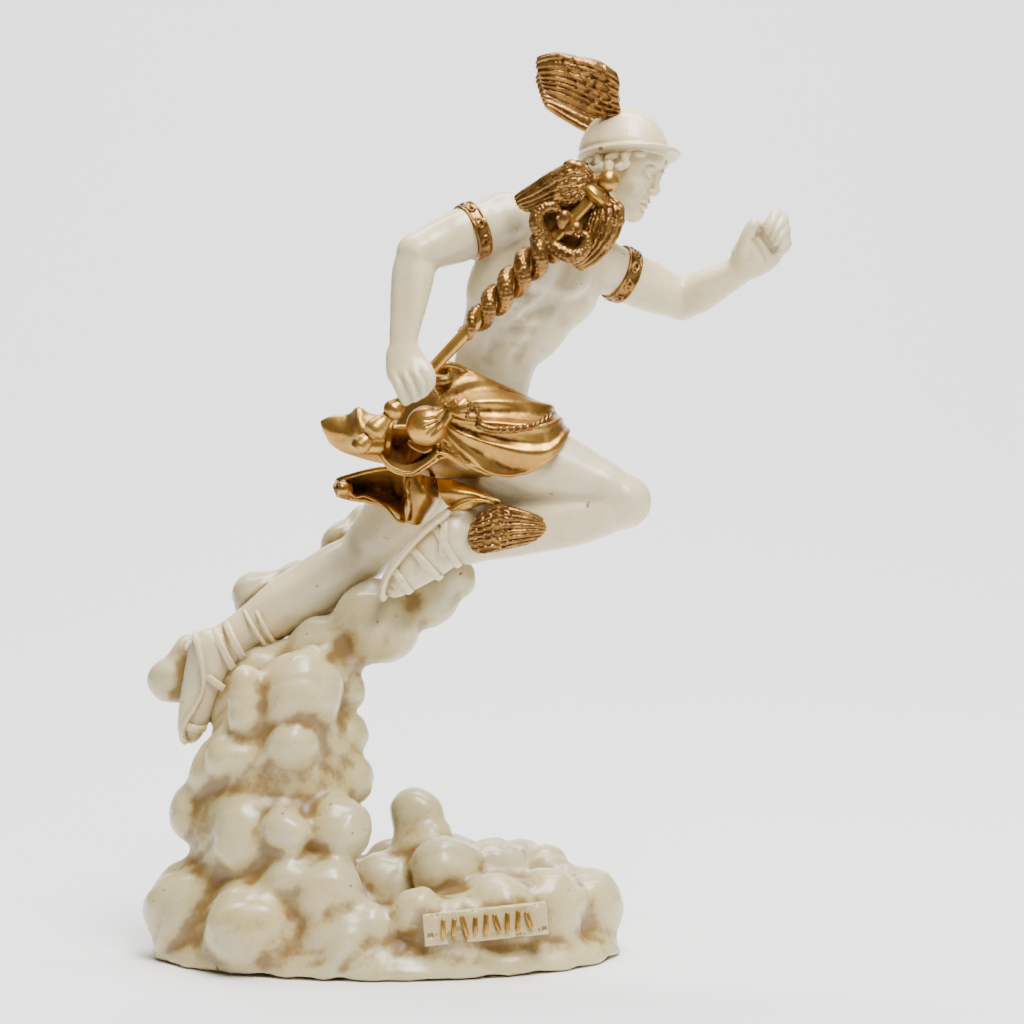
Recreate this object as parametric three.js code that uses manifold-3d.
// Running messenger god on a bank of cloud: a cast resin figurine about 290 mm tall.
// Millimetres, +Z up. The figure runs towards +X and its front view looks along +Y, and the origin is the
// centre of the flat underside. Three pieces: the cloud base, the figure that rests on it, and its staff.
import * as THREE from "three";
import { SimplifyModifier } from "three/addons/modifiers/SimplifyModifier.js";
import { mergeVertices } from "three/addons/utils/BufferGeometryUtils.js";
import Module from "manifold-3d";

const wasm = await Module();
wasm.setup();

const { degToRad, clamp, lerp } = THREE.MathUtils;
const V = (x, y, z) => new THREE.Vector3(x, y, z);
const VIEWER = V(0, -1, 0);

// Driving dimensions

const GAP = 0.35; // left round the rod in the hand
const REST_GAP = 0.7; // left round the legs where they lie in the clouds
const SLAB = { halfLength: 77, halfDepth: 49, height: 15 };
const PLATE = { length: 40, height: 10.5, thickness: 8 };
const ARM = { shoulder: 9.4, upper: 8.3, elbow: 6.8, forearm: 6.1, wrist: 4.8 };
const LEG = { hip: 12.6, thigh: 11.4, knee: 8, calf: 8, ankle: 5.8 };
const FOOT = { width: 11, instep: 18, ball: 11, toe: 6, sole: 1.6 };
const FINGER = 1.8;
const HELMET = { halfLength: 14.6, halfWidth: 12.6, height: 14.4 };
const BRIM = { radius: 16.4, thickness: 1.6, forward: 2.2 };
const BAND = { radius: 9.3, width: 4.6 };
const ROD = { top: 2.3, grip: 1.9, knob: 3.6, ball: 3.7 };
const SNAKE = { neck: 2, body: 2.7, tail: 1.1, turns: 2.5, helix: 3.5, from: 46, to: 85 };

const BEAD = 0.25; // half the thickness of a bead along a pinched edge
const FACES = { clouds: 2650, figure: 3300, staff: 800 }; // about how many each piece keeps

// Joints and other fixed points of the figure

const at = {
  pelvis: V(29.7, 2, 170.8),
  neck: V(64.8, 2, 235.6),
  skull: V(74.6, 0, 252.5),
  helmet: V(75.9, 0, 256.2),
  rightShoulder: V(38.5, -8, 237.2),
  rightElbow: V(10.6, -20, 226.8),
  rightWrist: V(6.3, -26, 198.3),
  leftShoulder: V(69.5, 8, 225.4),
  leftElbow: V(97, 20, 210.2),
  leftWrist: V(115.4, 11, 220.6),
  rightHip: V(31, -8.5, 168),
  rightKnee: V(76, -14, 147.8),
  rightAnkle: V(28, -15, 134.6),
  rightHeel: V(21, -15, 144),
  rightToe: V(1.6, -12, 118.6),
  leftHip: V(24, 12, 165.5),
  leftKnee: V(-7.4, 15, 127.5),
  leftAnkle: V(-47.5, 12, 101.4),
  leftHeel: V(-63.6, 9, 103),
  leftToe: V(-63.8, 6, 67.4),
  staffBall: V(70.6, -22, 249.3),
  staffEnd: V(-6.3, -30, 167.5),
};

// Solids

function solidOf(geometry) {
  const plain = geometry.index ? geometry.toNonIndexed() : geometry.clone();
  plain.deleteAttribute("uv");
  plain.deleteAttribute("normal");
  const merged = mergeVertices(plain, 1e-3);
  return new wasm.Manifold(
    new wasm.Mesh({
      numProp: 3,
      vertProperties: merged.attributes.position.array,
      triVerts: new Uint32Array(merged.index.array),
    }),
  );
}

const join = (solids) => solids.reduce((all, one) => all.add(one));

function geometryOf(manifold) {
  const mesh = manifold.getMesh();
  const position = new Float32Array(mesh.numVert * 3);
  for (let i = 0; i < mesh.numVert; i++)
    position.set(mesh.vertProperties.subarray(i * mesh.numProp, i * mesh.numProp + 3), i * 3);
  const geometry = new THREE.BufferGeometry();
  geometry.setAttribute("position", new THREE.BufferAttribute(position, 3));
  geometry.setIndex(new THREE.BufferAttribute(mesh.triVerts, 1));
  geometry.computeVertexNormals();
  return geometry;
}

// One cross-section of a form: its centre, half width, half depth, the way it faces and, where it isn't
// square to the form's run, its axis.
const ring = (centre, wide, deep = wide, facing = VIEWER, axis) => ({ centre, wide, deep, facing, axis });

// The surface through a row of rings: place(t, turn, reach) is a point at share t of the way, turned from its
// right side towards its front. Swell scales the reach and drop moves a point back along the axis.
function surface(rings, { swell = () => 1, drop = () => 0 } = {}) {
  const through = (read) => new THREE.CatmullRomCurve3(rings.map(read));
  const line = through((r) => r.centre);
  const size = through((r) => V(r.wide, r.deep, 0));
  const facing = through((r) => r.facing);
  const axis = rings[0].axis && through((r) => r.axis);
  return (t, turn, reach = 1) => {
    const along = axis ? axis.getPoint(t).normalize() : line.getTangent(t);
    const front = facing.getPoint(t);
    front.addScaledVector(along, -front.dot(along)).normalize();
    const side = V(0, 0, 0).crossVectors(along, front);
    const { x: wide, y: deep } = size.getPoint(t);
    const out = reach * swell(t, turn);
    return line
      .getPoint(t)
      .addScaledVector(side, Math.cos(turn) * wide * out)
      .addScaledVector(front, Math.sin(turn) * deep * out)
      .addScaledVector(along, -reach * drop(t, turn));
  };
}

// A solid form through rings, with flat ends, or with blunt round ends where it is rounded.
function sweep(rings, { sides = 10, steps = 8, rounded = false, ...shaping } = {}) {
  const place = surface(rings, shaping);
  const shape = rounded
    ? new THREE.SphereGeometry(1, sides, steps)
    : new THREE.CylinderGeometry(1, 1, 1, sides, steps);
  const position = shape.attributes.position;
  for (let i = 0; i < position.count; i++) {
    const [x, y, z] = [position.getX(i), position.getY(i), position.getZ(i)];
    const spread = Math.hypot(x, z);
    const t = clamp(rounded ? (1 + y) / 2 : y + 0.5, 0, 1);
    const point = place(t, Math.atan2(z, x), rounded ? spread ** 0.45 : spread);
    position.setXYZ(i, point.x, point.y, point.z);
  }
  return solidOf(shape);
}

// A round limb from joint to joint, with one radius for each step on the way.
function limb(from, to, radii, facing = VIEWER) {
  const last = radii.length - 1;
  const rings = radii.map((r, i) => ring(from.clone().lerp(to, i / last), r, r, facing));
  return sweep(rings, { sides: 12, steps: 2 * last });
}

// An ellipsoid with its half sizes along three turned axes.
function blob(centre, x, y = x, z = x, turn = new THREE.Quaternion(), detail = 1) {
  const ball = new THREE.IcosahedronGeometry(1, detail).scale(x, y, z);
  return solidOf(ball.applyQuaternion(turn).translate(centre.x, centre.y, centre.z));
}

// A turned profile of [radius, height] pairs, standing on a point and pointing along an axis.
function turned(profile, foot, axis, sides = 12) {
  const shape = new THREE.LatheGeometry(profile.map(([r, h]) => new THREE.Vector2(r, h)), sides);
  shape.applyQuaternion(new THREE.Quaternion().setFromUnitVectors(V(0, 1, 0), axis.clone().normalize()));
  return solidOf(shape.translate(foot.x, foot.y, foot.z));
}

// A wing lies in its own plane, with its length along reach and its leading edge towards rise. The feathers
// fan from a short root line to a curved line of tips, and shorter, thicker layers of them lie over the
// longest ones. The leading edge runs back to the root through the edge points.
function wing({ root, reach, rise, low, high, tips, edge = [], feathers, layers }) {
  const tipLine = new THREE.QuadraticBezierCurve(...tips.map(([x, y]) => new THREE.Vector2(x, y)));
  const start = new THREE.Vector2(...low);
  const end = new THREE.Vector2(...high);
  const along = reach.clone().normalize();
  const across = rise.clone().addScaledVector(along, -rise.dot(along)).normalize();
  const frame = new THREE.Matrix4().makeBasis(along, across, V(0, 0, 0).crossVectors(along, across));
  frame.setPosition(root);
  const scallop = [[0.04, 0.88], [0.35, 1], [0.8, 0.97]];
  return join(
    layers.map(([share, thickness]) => {
      const outline = [start.clone()];
      for (let i = 0; i < feathers; i++)
        for (const [step, length] of scallop) {
          const s = (i + step) / feathers;
          const foot = start.clone().lerp(end, s);
          outline.push(foot.lerp(tipLine.getPoint(s), share * length));
        }
      for (const [x, y] of edge) outline.push(new THREE.Vector2(x, y).lerp(end, 1 - share));
      outline.push(end.clone());
      const flat = { depth: thickness, bevelEnabled: false };
      const plate = new THREE.ExtrudeGeometry(new THREE.Shape(outline), flat);
      return solidOf(plate.translate(0, 0, -thickness / 2).applyMatrix4(frame));
    }),
  );
}

// Cloud base

function baseSlab() {
  const { halfLength, halfDepth, height } = SLAB;
  const profile = [[0, 0], [0.955, 0], [1, 0.3], [0.95, 0.75], [0.86, 1], [0, 1]];
  const slab = new THREE.LatheGeometry(profile.map(([r, h]) => new THREE.Vector2(r, h * height)), 32);
  return solidOf(slab.rotateX(Math.PI / 2).scale(halfLength, halfDepth, 1));
}

// Each puff is [x, y, z, radius], read from the front view from left to right.
const BASE_PUFFS = [
  [-60, -6, 14, 18], [-39, -23, 9, 19], [-38, -36, 17, 10], [-45, -20, 43, 9.4],
  [-31, -26, 44, 7], [-14, -20, 43, 11], [-17, -28, 27, 12], [0, -38, 17, 8.4],
  [10, 6, 44, 9], [12, 2, 33, 11], [19, -14, 30, 11], [11, -35, 20, 8.6],
  [35, -4, 27, 11.4], [51, 10, 24, 9.3], [64, 2, 14, 14], [51, -15, 17, 13.6],
  [36, -24, 17, 13.4], [21, -30, 11, 14.2], [-12, -30, 10, 15.4],
];
const COLUMN_PUFFS = [
  [-60, -2, 46, 10.4], [-51, -5, 60, 12.2], [-46, -15, 70, 9.8], [-37, -8, 60, 13.6],
  [-29, -16, 72, 9.6], [-26, -8, 86, 13.2], [-43, -13, 90, 5.4], [-42, -15, 82, 5.8],
  [-72, 15, 87, 7.8], [-65, 16, 94, 7.2], [-55, 16, 83, 11], [-3, 4, 107, 14.2],
  [-20, 6, 96, 13], [-12, 2, 85, 6.6], [-13, -2, 71, 8], [-12, -4, 57, 9],
  [22, 8, 121, 7.6], [14, 8, 114, 9.6], [-42, 24, 112, 9.4], [-13, 26, 128, 9.6],
  [-8, 28, 138, 5.4], [-27, 25, 114, 11.4],
];
// The leaning column that all the upper puffs stand out of, from bottom to top.
const CORE = [[-34, 4, 14, 24], [-34, 5, 40, 21.5], [-34, 5, 60, 21], [-38, 8, 78, 18], [-28, 17, 96, 15]];

const puff = ([x, y, z, r]) => blob(V(x, y, z), r, r, r, undefined, 2);

// The back repeats the front's scale of puff in plain rows.
function backPuffs() {
  const made = [];
  for (let i = 0; i < 6; i++) {
    const x = -54 + 21 * i;
    made.push([x, 30 - 0.12 * Math.abs(x), 12, 14.5 + 1.6 * Math.sin(2.3 * i)]);
    if (i > 1) made.push([x - 8, 19, 24, 10.5 + Math.cos(3 * i)]);
  }
  for (let i = 0; i < 5; i++) {
    made.push([-48 + 3 * i, 18 + 2 * Math.sin(2 * i), 34 + 14 * i, 12 - 0.4 * i]);
    made.push([-26 + 2 * i, 20 - 2 * Math.sin(3 * i), 40 + 14 * i, 11.4]);
  }
  return made;
}

function namePlate() {
  const plate = new THREE.BoxGeometry(PLATE.length, PLATE.thickness, PLATE.height);
  plate.translate(0, PLATE.thickness / 2, 0);
  return solidOf(plate.rotateX(-0.16).rotateY(-0.07).rotateZ(0.16).translate(32.4, -41.6, 17.4));
}

function cloudBase() {
  const core = sweep(CORE.map(([x, y, z, r]) => ring(V(x, y, z), r)), { sides: 12, steps: 5 });
  const puffs = [...BASE_PUFFS, ...COLUMN_PUFFS, ...backPuffs()].map(puff);
  return join([core, ...puffs]);
}

// Body

const chestFacing = V(0.46, -0.89, 0);
const midFacing = V(0.62, -0.78, 0);
const hipFacing = V(0.8, -0.6, 0);

function torso() {
  const rings = [
    ring(V(25.5, 2, 160), 13, 11, hipFacing),
    ring(at.pelvis, 16, 13, hipFacing),
    ring(V(33.5, 2, 184.5), 13.8, 11.6, midFacing),
    ring(V(36.6, 2, 195), 15.4, 11, midFacing),
    ring(V(41.2, 2, 203.5), 18.2, 12.2, chestFacing),
    ring(V(45, 1, 212), 21.2, 13.2, chestFacing),
    ring(V(51.4, 1, 221.4), 22, 13, chestFacing),
    ring(V(58.6, 1.4, 230), 15.5, 10.6, chestFacing),
    ring(at.neck, 8.4, 8, chestFacing),
    ring(V(70, 0.8, 242), 6.8, 6.8, chestFacing),
  ];
  const breast = (x, z) => blob(V(x, -8.6, z), 9, 5.4, 7);
  return join([sweep(rings, { sides: 20, steps: 14 }), breast(44.5, 221), breast(60, 218)]);
}

function arm(shoulder, elbow, wrist) {
  const { shoulder: top, upper, elbow: joint, forearm, wrist: end } = ARM;
  return join([
    blob(shoulder, top, top - 0.8, top - 0.4),
    limb(shoulder, elbow, [upper, upper + 0.1, upper - 0.6, joint]),
    blob(elbow, joint),
    limb(elbow, wrist, [joint - 0.4, forearm + 0.4, forearm - 0.4, end, end]),
  ]);
}

// An armband, square to the upper arm and standing a little proud of it.
function bandOn(shoulder, elbow, share) {
  const { radius, width } = BAND;
  const axis = elbow.clone().sub(shoulder).normalize();
  const middle = shoulder.clone().lerp(elbow, share).addScaledVector(axis, -width / 2);
  return turned([[0, 0], [radius, 0.3], [radius, width - 0.3], [0, width]], middle, axis, 16);
}

const finger = (points, radius = FINGER) =>
  sweep(points.map((p) => ring(p, radius)), { sides: 6, steps: 5, rounded: true });

// The right hand hangs over the staff with its back to the viewer and its fingers side by side.
function rightHand() {
  const back = sweep(
    [
      ring(at.rightWrist.clone().setZ(200), 4.8, 4.5),
      ring(V(7.2, -26.6, 194), 6, 4),
      ring(V(9.2, -28, 188), 7.3, 3.7),
      ring(V(10, -27.6, 183.5), 6.6, 3.4),
    ],
    { sides: 10, steps: 5 },
  );
  const made = [0, 1, 2, 3].map((i) => {
    const knuckle = V(3.6 + 3.6 * i, -28.6, 189);
    const tip = V(lerp(6.6, 14.4, i / 3), -30.2, [181.4, 179.6, 179.6, 182.4][i]);
    return finger([knuckle, knuckle.clone().lerp(tip, 0.5).setY(-32), tip]);
  });
  return join([back, ...made, finger([V(11.6, -25, 194), V(15.6, -25.6, 189), V(16.2, -25.4, 184.6)])]);
}

// The left hand is a fist, palm towards the viewer, with the fingers curled over it one above the other.
function leftHand() {
  const palm = sweep(
    [
      ring(V(114.4, 11.4, 219.6), 4.6, 4.4),
      ring(V(118.4, 9.8, 225), 6.6, 4.8),
      ring(V(121.4, 8, 231.5), 7.2, 4.6),
      ring(V(123, 7, 236.6), 6, 4.2),
    ],
    { sides: 10, steps: 5 },
  );
  const made = [0, 1, 2, 3].map((i) => {
    const back = V(123.4 + 1.4 * i - 0.46 * i * i, 6.8, 237.2 - 3.2 * i);
    const knuckle = back.clone().add(V(1, -5.6, -0.6));
    return finger([back, knuckle, back.clone().add(V(-5.2, -6.8, -3))], FINGER * 1.1);
  });
  const thumb = finger([V(114.6, 6.2, 226.6), V(115.2, 3.4, 231.6), V(118.6, 1.8, 236)], FINGER * 1.2);
  return join([palm, ...made, thumb]);
}

function leg(hip, knee, ankle, grow = 0) {
  const { hip: top, thigh, knee: joint, calf, ankle: end } = LEG;
  const fatter = (radii) => radii.map((r) => r + grow);
  return join([
    limb(hip, knee, fatter([top, thigh + 1.4, thigh + 0.4, 9.6, joint])),
    blob(knee, joint + grow),
    limb(knee, ankle, fatter([7.4, calf, calf - 0.2, 6.8, end])),
  ]);
}

// A sandalled foot, from heel to toe along its sole, with the shin coming in on the side away from the sole.
function sandalledFoot(heel, toe, ankle, grow = 0) {
  const { width, instep, ball, toe: tip, sole: thick } = FOOT;
  const along = toe.clone().sub(heel).normalize();
  const down = heel.clone().lerp(toe, 0.3).sub(ankle);
  down.addScaledVector(along, -down.dot(along)).normalize();
  const alongSole = (share, lift) => heel.clone().lerp(toe, share).addScaledVector(down, -lift);
  const slice = (share, height, wide) =>
    ring(alongSole(share, height / 2), wide + grow, height / 2 + grow, down);
  const flesh = [
    slice(-0.06, 9, width * 0.26),
    slice(0.1, instep * 0.86, width * 0.42),
    slice(0.34, instep, width * 0.45),
    slice(0.66, ball, width * 0.49),
    slice(0.88, tip + 1, width * 0.48),
    slice(1, tip - 1, width * 0.36),
  ];
  const sole = [0.36, 0.42, 0.54, 0.42].map((w, i) =>
    ring(alongSole(-0.07 + 0.365 * i, 0), width * w + grow, thick + grow, down),
  );
  const straps = [0.36, 0.62].map((share) => {
    const back = slice(share - 0.04, instep - 9 * share, width * 0.5);
    const front = slice(share + 0.04, instep - 11 * share, width * 0.5);
    return sweep([back, front], { sides: 12, steps: 1 });
  });
  const end = LEG.ankle + grow;
  return join([
    sweep(flesh, { sides: 12, steps: 8 }),
    sweep(sole, { sides: 8, steps: 7, rounded: true }),
    limb(ankle, alongSole(0.16, instep * 0.6), [end, end + 0.8, end]),
    ...straps,
  ]);
}

const rightLeg = (grow) => join([
  leg(at.rightHip, at.rightKnee, at.rightAnkle, grow),
  sandalledFoot(at.rightHeel, at.rightToe, at.rightAnkle, grow),
]);
const leftLeg = (grow) => join([
  leg(at.leftHip, at.leftKnee, at.leftAnkle, grow),
  sandalledFoot(at.leftHeel, at.leftToe, at.leftAnkle, grow),
]);

// Head. It turns towards the viewer, and the face looks down more than the helmet does.

function headFrame(down, lean, origin) {
  const frame = new THREE.Matrix4().makeRotationZ(-degToRad(27));
  frame.multiply(new THREE.Matrix4().makeRotationY(degToRad(down)));
  frame.multiply(new THREE.Matrix4().makeRotationX(-degToRad(lean)));
  return frame.setPosition(origin);
}
const faceFrame = headFrame(16, 8, at.skull);
const helmetFrame = headFrame(-8, 15, at.helmet);
const turnOf = (frame) => new THREE.Quaternion().setFromRotationMatrix(frame);
// A point of the head by its own axes: forward, to its left, and up.
const onFace = (forward, left, up) => V(forward, left, up).applyMatrix4(faceFrame);
const onHelmet = (forward, left, up) => V(forward, left, up).applyMatrix4(helmetFrame);

function head() {
  const turn = turnOf(faceFrame);
  const nose = [
    ring(onFace(12.6, 0, 3), 1.4, 1.2),
    ring(onFace(15.4, 0, -2), 1.7, 1.6),
    ring(onFace(15.4, 0, -4.6), 2.4, 2),
    ring(onFace(12.8, 0, -5.4), 2, 1.4),
  ];
  return join([
    blob(onFace(1, 0, 5), 12.6, 10.2, 11.6, turn, 2),
    blob(onFace(5.6, 0, -3.2), 8.9, 8, 11, turn, 2),
    blob(onFace(8.8, 0, -11), 4.3, 4.7, 3.6, turn),
    blob(onFace(13, 0, -8.2), 1.9, 3, 1.7, turn),
    sweep(nose, { sides: 8, steps: 6, rounded: true }),
    limb(onFace(-1, 0, -5), V(64, 3, 233), [7.4, 7.2, 7.8], chestFacing),
  ]);
}

function helmet() {
  const { halfLength, halfWidth, height } = HELMET;
  const { radius, thickness, forward } = BRIM;
  const dome = [[0, 0]];
  for (let i = 0; i <= 8; i++) {
    const rise = (Math.PI / 2) * (i / 8);
    dome.push([i === 8 ? 0 : Math.cos(rise), Math.sin(rise)]);
  }
  const domeShape = new THREE.LatheGeometry(dome.map(([r, h]) => new THREE.Vector2(r, h)), 28);
  domeShape.rotateX(Math.PI / 2).scale(halfLength, halfWidth, height).applyMatrix4(helmetFrame);
  const brimShape = new THREE.CylinderGeometry(radius - 0.4, radius, thickness, 28).rotateX(Math.PI / 2);
  brimShape.scale(1, 0.88, 1).translate(forward, 0, thickness / 2 - 0.4).applyMatrix4(helmetFrame);
  return join([solidOf(domeShape), solidOf(brimShape)]);
}

function curls() {
  const turn = turnOf(faceFrame);
  const made = [];
  for (let i = 0; i < 11; i++) {
    const round = degToRad(30 + 30 * i);
    const back = Math.max(0, -Math.cos(round));
    const centre = onFace(1 + 12.2 * Math.cos(round), 10 * Math.sin(round), 5.4 - 1.6 * (i % 2) - 6 * back);
    made.push(blob(centre, 3.2, 3.2, 3.6, turn));
  }
  return join(made);
}

function helmetWings() {
  const shape = {
    low: [2, -7.5],
    high: [-6, 2],
    tips: [[8, -8], [48, -2.5], [11, 14.4]],
    edge: [[4.5, 13.4], [1, 8.6], [-2.6, 5]],
    feathers: 6,
    layers: [[1, 2.6], [0.62, 4.4]],
  };
  const near = { root: onHelmet(-3.4, -8.4, 10.8), reach: V(-0.77, -0.1, 0.64), rise: V(0.64, 0.1, 0.77) };
  const far = { root: onHelmet(-7.6, 7.6, 8.6), reach: V(-0.8, 0.2, 0.56), rise: V(0.56, 0, 0.82) };
  return join([wing({ ...shape, ...near }), wing({ ...shape, ...far })]);
}

// The right ankle carries a wing on its outer side, laid back along the shin.
function ankleWing() {
  const tips = [[5, -7.6], [45, -1], [7, 7.6]];
  const layers = [[1, 2.8], [0.48, 4.6]];
  const [root, reach, rise] = [V(27.4, -21, 139.4), V(0.99, -0.02, 0.03), V(0, 0, 1)];
  return wing({ root, reach, rise, low: [0, -6.4], high: [0, 6], tips, feathers: 5, layers });
}

// Drapery

// The kilt flares from the waist to a hem that hangs in two swags at the front, with a lower one behind.
const kiltRings = (inset) => [
  ring(V(28.2, -1, 167), 29.5 - inset, 26 - inset, VIEWER, V(-0.06, 0, 1)),
  ring(V(28.8, 0, 174), 26 - inset, 22.5 - inset, VIEWER, V(0.1, 0, 1)),
  ring(V(30, 1, 180), 20.6 - inset, 17 - inset, VIEWER, V(0.28, 0, 0.96)),
  ring(V(31.2, 2, 184.6), 15.4 - inset, 12.6 - inset, VIEWER, V(0.37, 0, 0.93)),
];
const HEM = 156.5; // height of the front swag's lowest edge
const swags = [
  { from: 0, to: 115, depth: 11 },
  { from: 115, to: 180, depth: 8 },
  { from: 180, to: 360, depth: 6 },
];
function hemDrop(t, turn) {
  const degrees = THREE.MathUtils.euclideanModulo(THREE.MathUtils.radToDeg(turn), 360);
  const { from, to, depth } = swags.find((s) => degrees <= s.to);
  return depth * Math.sin((Math.PI * (degrees - from)) / (to - from)) ** 0.8 * (1 - t) ** 1.5;
}
// A squarish section, so that the cloth clears both thighs.
const SQUARE = 2.8;
const squared = (turn) =>
  (Math.abs(Math.cos(turn)) ** SQUARE + Math.abs(Math.sin(turn)) ** SQUARE) ** (-1 / SQUARE);
const kiltFolds = (t, turn) => squared(turn) * (1 + 0.045 * (1 - t) * Math.sin(9 * turn + 6 * t));
const kiltShaping = { swell: kiltFolds, drop: hemDrop };

function kilt() {
  const overThigh = at.rightHip.clone().lerp(at.rightKnee, 0.46);
  const underHem = solidOf(new THREE.BoxGeometry(60, 60, 20).rotateY(-0.16).translate(42, -10, HEM - 10));
  const thigh = limb(at.rightHip, overThigh, [LEG.hip + 1.4, LEG.thigh + 3.4, LEG.thigh + 2.4]);
  const outer = sweep(kiltRings(0), { sides: 48, steps: 8, ...kiltShaping });
  const [hem, flare] = kiltRings(2);
  const below = ring(V(28.2, -1, 160), hem.wide, hem.deep, VIEWER, hem.axis);
  const hollow = sweep([below, hem, flare], { sides: 24, steps: 2 });
  return outer.subtract(hollow).add(thigh.subtract(underHem));
}

// A loose end of cloth that narrows to its tip.
function flap(points, widths, thickness) {
  return sweep(points.map((p, i) => ring(p, widths[i], thickness)), { sides: 12, steps: 10, rounded: true });
}

function looseCloth() {
  return join([
    flap([V(10, -12, 168), V(-2, -13, 168), V(-11, -9, 169.4), V(-20.5, -4, 172.8)], [8, 9.6, 8.4, 2.4], 3),
    flap([V(24, 4, 162), V(8, -4, 154), V(-6, -3, 153), V(-16, 0, 151)], [8, 8.6, 5, 2.4], 4.8),
    flap([V(22, 3, 162), V(14, -6, 150), V(9, -7, 139.6)], [9, 8.6, 3.4], 5),
    flap([V(12, -10, 156), V(24, -14, 150.6), V(37.6, -14.6, 147.6)], [5.6, 4.6, 1.8], 3.6),
  ]);
}

// The cord lies round the front of the kilt, from the pouch to the right side.
function pouchAndCord() {
  const onKilt = surface(kiltRings(-0.6), kiltShaping);
  const cord = [];
  for (let i = 0; i <= 4; i++) cord.push(onKilt(lerp(0.36, 0.5, i / 4), degToRad(96 - 23 * i)));
  return join([
    blob(V(14.6, -25.5, 172.6), 6.6, 5.4, 7),
    turned([[0, 0], [3.6, 0], [1.9, 3.2], [3.8, 6.6], [0, 7.6]], V(18.2, -25.6, 175.2), V(0.86, 0.1, 0.3), 8),
    sweep(cord.map((p) => ring(p, 1.2)), { sides: 5, steps: 9 }),
  ]);
}

// Staff

const rodAxis = at.staffBall.clone().sub(at.staffEnd).normalize();
const rodLength = at.staffBall.distanceTo(at.staffEnd);
const rodSide = V(0, 0, 0).crossVectors(VIEWER, rodAxis).normalize();
const rodFront = V(0, 0, 0).crossVectors(rodAxis, rodSide).normalize();
// A point beside the rod: so far up it from its lower end, out to its left, and towards the viewer.
const onStaff = (up, out, front = 0) => {
  const onRod = at.staffEnd.clone().addScaledVector(rodAxis, up);
  return onRod.addScaledVector(rodSide, out).addScaledVector(rodFront, front);
};

function rod() {
  const { ball, top, grip, knob } = ROD;
  const collar = rodLength - 5.6;
  const profile = [
    [0, -3.2], [2.6, -2.4], [3.3, 0], [1.8, 3.2], [3.9, 5.2], [3.4, 8], [1.9, 12.4],
    [knob, 13.6], [knob, 15.8], [grip, 18.2], [top, 60], [top, collar - 2.4],
    [4.8, collar - 1.6], [5.2, collar], [2.2, collar + 2.2],
  ];
  for (let i = 1; i <= 5; i++) {
    const turn = (Math.PI / 5) * i;
    profile.push([i === 5 ? 0 : ball * Math.sin(turn), rodLength - ball * Math.cos(turn)]);
  }
  return turned(profile, at.staffEnd, rodAxis, 10);
}

// A snake winds up the rod, swings out in a loop and turns its head back to the other one.
function snake(side) {
  const { neck, body, tail, turns, helix, from, to } = SNAKE;
  const points = [];
  const coils = 24;
  for (let i = 0; i <= coils; i++) {
    const share = i / coils;
    const turn = side * Math.PI * 0.5 + 2 * Math.PI * turns * share;
    const out = helix * lerp(0.6, 1, share);
    points.push(onStaff(lerp(from, to, share), out * Math.sin(turn), out * Math.cos(turn)));
  }
  const loop = [[6.6, 87], [9.4, 91], [7.2, 95.4], [2.6, 94]];
  for (const [out, up] of loop) points.push(onStaff(up, side * out, 2.4));
  const last = points.length - 1;
  const rings = points.map((p, i) => {
    const share = i / last;
    const thinning = Math.max(0, share - 0.8) / 0.2;
    const thick = share < 0.3 ? lerp(tail, body, share / 0.3) : lerp(body, neck, thinning);
    return ring(p, thick, thick, rodFront);
  });
  const skull = blob(onStaff(93.8, side * 2.8, 2.8), 3, 2.4, 2.2);
  return join([sweep(rings, { sides: 8, steps: 60 }), skull]);
}

function staffWings() {
  const shape = {
    low: [0, -4.4],
    high: [0, 4.6],
    tips: [[8, -5.6], [44, -1.5], [6, 6.4]],
    feathers: 5,
    layers: [[1, 2.8]],
  };
  const one = (side, root, tip) => {
    const reach = tip.clone().sub(root);
    const rise = rodSide.clone().multiplyScalar(side);
    return wing({ ...shape, root, reach, rise });
  };
  return join([
    one(1, onStaff(109, 7.4, -0.6), onStaff(88, 17.4, -0.6)),
    one(-1, onStaff(108.4, -7.6, -0.6), onStaff(86, -13.4, -0.6)),
    blob(onStaff(108, 5.4), 4.6, 2.4, 4.6),
    blob(onStaff(107.4, -5.6), 4.6, 2.4, 4.6),
  ]);
}

// Assembly

function figure() {
  return join([
    torso(),
    arm(at.rightShoulder, at.rightElbow, at.rightWrist),
    arm(at.leftShoulder, at.leftElbow, at.leftWrist),
    rightHand(),
    leftHand(),
    bandOn(at.rightShoulder, at.rightElbow, 0.37),
    bandOn(at.leftShoulder, at.leftElbow, 0.3),
    rightLeg(),
    leftLeg(),
    head(),
    helmet(),
    curls(),
    kilt(),
    looseCloth(),
    pouchAndCord(),
  ]);
}

// The same solid with about so many faces. The flattest stretches lose the most.
async function lighter(solid, faces) {
  const geometry = geometryOf(solid);
  geometry.deleteAttribute("normal");
  const spare = Math.round((solid.numTri() - faces) / 2);
  return solidOf(await new SimplifyModifier().modify(geometry, spare));
}

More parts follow.
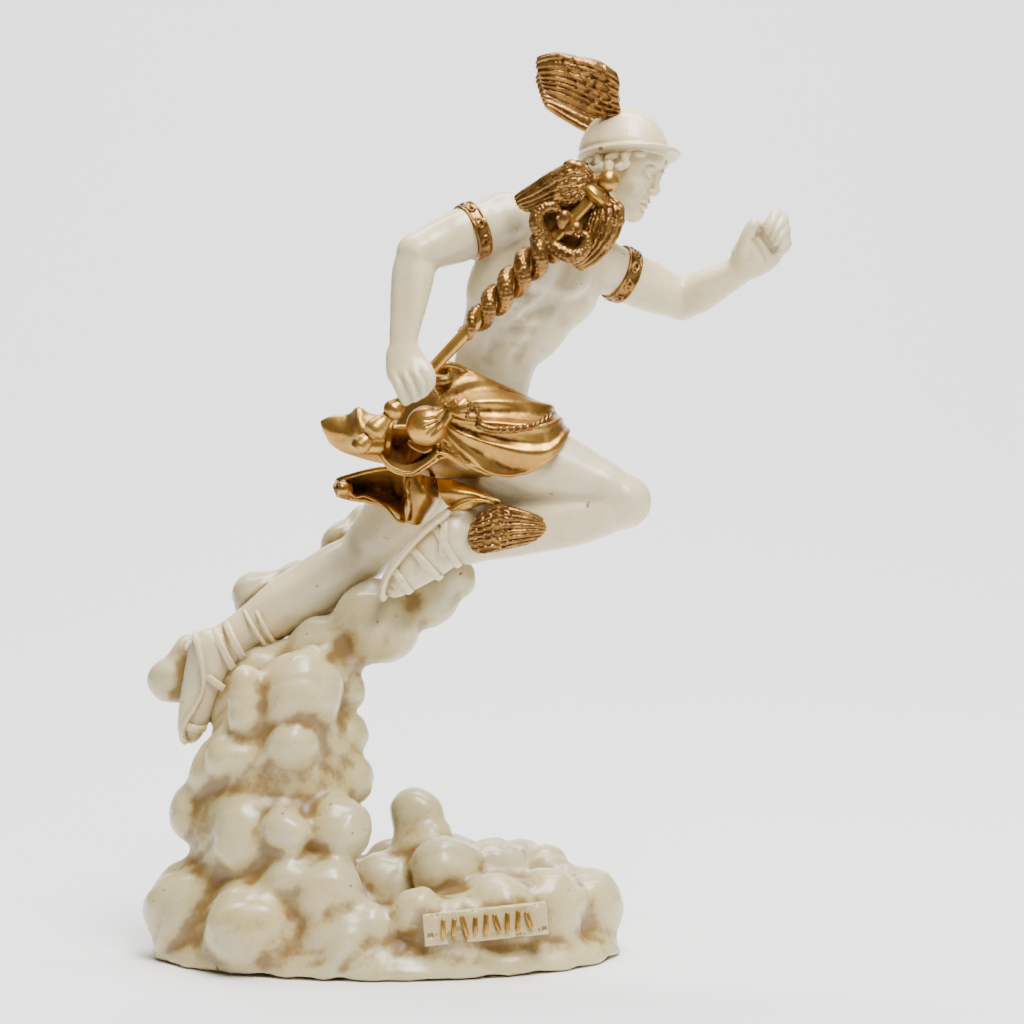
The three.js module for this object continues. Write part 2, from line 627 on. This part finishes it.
// Edges where two folds of a surface meet with no thickness between them.
function pinchedEdges(solid) {
  const { index, attributes } = geometryOf(solid);
  const corner = (i) => V(0, 0, 0).fromBufferAttribute(attributes.position, index.getX(i));
  const key = (p) => p.toArray().map((v) => v.toFixed(4)).join();
  const edges = new Map();
  for (let i = 0; i < index.count; i += 3) {
    const face = [corner(i), corner(i + 1), corner(i + 2)];
    if (new Set(face.map(key)).size < 3) continue;
    face.forEach((from, k) => {
      const ends = [from, face[(k + 1) % 3]];
      const name = ends.map(key).sort().join(" ");
      edges.set(name, { ends, faces: (edges.get(name)?.faces ?? 0) + 1 });
    });
  }
  return [...edges.values()].filter(({ faces }) => faces > 2);
}

// The solid with a thin bead along each pinched edge.
function beaded(solid) {
  const beads = pinchedEdges(solid).map(({ ends: [from, to] }) => {
    const past = to.clone().sub(from).setLength(BEAD);
    const rings = [ring(from.clone().sub(past), BEAD), ring(to.clone().add(past), BEAD)];
    return sweep(rings, { sides: 4, steps: 1 });
  });
  return join([solid, ...beads]);
}

function mesh(name, solid, color, roughness, metalness) {
  const material = new THREE.MeshStandardMaterial({ color, roughness, metalness });
  const made = new THREE.Mesh(geometryOf(solid), material);
  made.name = name;
  return made;
}

// The hand is open where the rod and its knob pass through it.
const bore = ROD.top + GAP;
const knobBore = ROD.knob + 0.1 + GAP;
const grasp = join([
  limb(onStaff(8, 0), onStaff(44, 0), [bore, bore]),
  limb(onStaff(8, 0), onStaff(16.8, 0), [knobBore, knobBore]),
]);
const ground = solidOf(new THREE.BoxGeometry(400, 400, 100).translate(0, 0, -50));

const staff = (await lighter(join([rod(), snake(1), snake(-1)]), FACES.staff)).add(staffWings());
const body = join([await lighter(figure(), FACES.figure), helmetWings(), ankleWing()]).subtract(grasp);
const seat = (gap) => join([leftLeg(gap), rightLeg(gap)]);
const hollowed = cloudBase().add(baseSlab()).subtract(seat(1.6 * REST_GAP));
const cloudShape = (await lighter(hollowed, FACES.clouds)).add(namePlate());
const clouds = cloudShape.subtract(seat(REST_GAP)).subtract(ground);

const figurine = new THREE.Group();
figurine.add(mesh("cloud_base", beaded(clouds), 0xe2d9c6, 0.45, 0));
figurine.add(mesh("figure", beaded(body), 0xe6decd, 0.42, 0));
figurine.add(mesh("staff", beaded(staff), 0xa8753a, 0.35, 0.9));

export default figurine;
